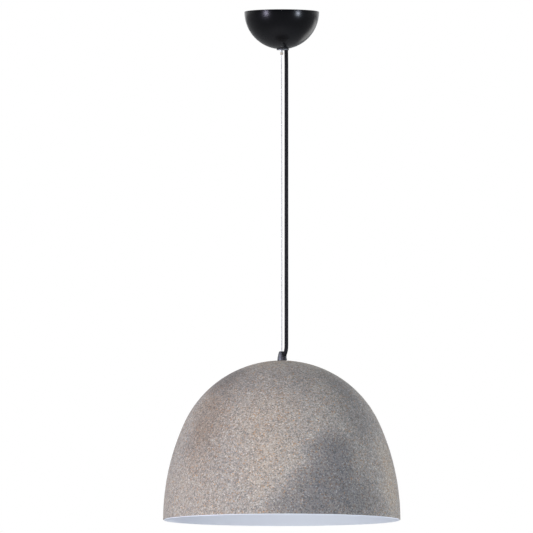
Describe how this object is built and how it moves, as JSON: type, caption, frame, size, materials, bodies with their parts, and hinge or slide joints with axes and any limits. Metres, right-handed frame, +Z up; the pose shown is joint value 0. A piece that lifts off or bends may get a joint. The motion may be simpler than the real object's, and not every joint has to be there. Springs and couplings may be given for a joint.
{
  "type": "pendant ceiling light",
  "caption": "Pendant ceiling light: stone-coated dome shade on a steel rope below a hemispherical canopy, its flex beside the rope, with a screw lampholder inside.",
  "frame": {"origin": "centre of the canopy's rim and of the two ceiling screw slots, on the ceiling", "axes": "+Z up to the ceiling, the rope along Z; +X towards the side that the flex is on; -Y is the front"},
  "size_m": [0.38, 0.3798, 0.816],
  "materials": {
    "zinc_steel": "satin",
    "black_enamel": "gloss",
    "chrome": "polished",
    "black_rubber": "matte",
    "black_moulding": "satin",
    "clear_nylon": "satin",
    "bright_rope": "satin",
    "crimp_metal": "satin",
    "black_flex": "satin",
    "white_enamel": "satin",
    "stone_coat": "matte",
    "white_ceramic": "gloss",
    "brass": "satin",
    "brown_core": "satin",
    "blue_core": "satin",
    "earth_core": "satin"
  },
  "bodies": {
    "ceiling": {"ceiling_bracket": "zinc_steel", "bracket_nuts": "zinc_steel", "eye_bolt": "zinc_steel", "canopy": "black_enamel", "canopy_gasket": "black_rubber", "outlet_plate": "chrome", "cable_grommet": "black_rubber", "cord_clamp": "black_moulding", "cord_clamp_screws": "zinc_steel", "terminal_block": "clear_nylon", "terminal_screws": "zinc_steel", "terminal_block_screw": "zinc_steel", "earth_screw": "zinc_steel", "flex_tail": "black_flex", "lead_live_upper": "brown_core", "lead_neutral_upper": "blue_core", "lead_earth_upper": "earth_core"},
    "link": {"ring_link": "zinc_steel"},
    "pendulum": {"suspension_rope": "bright_rope", "rope_ferrule": "crimp_metal", "rope_end_stop": "crimp_metal", "flex_upper": "black_flex"},
    "shade": {"flex_lower": "black_flex", "collar": "chrome", "cable_gland": "black_moulding", "grub_screw": "black_moulding", "threaded_nipple": "zinc_steel", "shade_shell": "white_enamel", "stone_coating": "stone_coat", "inner_washer": "zinc_steel", "earth_tag": "zinc_steel", "lock_nut": "zinc_steel", "lampholder_cap": "black_moulding", "lampholder_body": "black_moulding", "lampholder_insert": "white_ceramic", "holder_terminals": "brass", "holder_screws": "zinc_steel", "screw_shell": "brass", "shell_rivets": "brass", "lead_live_lower": "brown_core", "lead_neutral_lower": "blue_core", "lead_earth_lower": "earth_core", "contact_spring": "zinc_steel"},
    "contact": {"centre_contact": "brass"}
  },
  "joints": [
    {"name": "swing_front_back", "type": "hinge", "parent": "ceiling", "child": "link", "pos_m": [0, 0, -0.0619], "axis": [1, 0, 0], "range_deg": [-25, 25], "deforming": ["flex_upper"]},
    {"name": "swing_sideways", "type": "hinge", "parent": "link", "child": "pendulum", "pos_m": [0, 0, -0.06468], "axis": [0, 1, 0], "range_deg": [-25, 25], "deforming": ["flex_upper"]},
    {"name": "shade_turn", "type": "hinge", "parent": "pendulum", "child": "shade", "pos_m": [0, 0, -0.549], "axis": [0, 0, 1], "range_deg": [-90, 90], "stiffness_Nm_per_rad": 0.002, "deforming": ["flex_lower"]},
    {"name": "contact_press", "type": "slide", "parent": "shade", "child": "contact", "axis": [0, 0, 1], "range_m": [0, 0.002], "stiffness_N_per_m": 1500, "deforming": ["contact_spring"]}
  ]
}
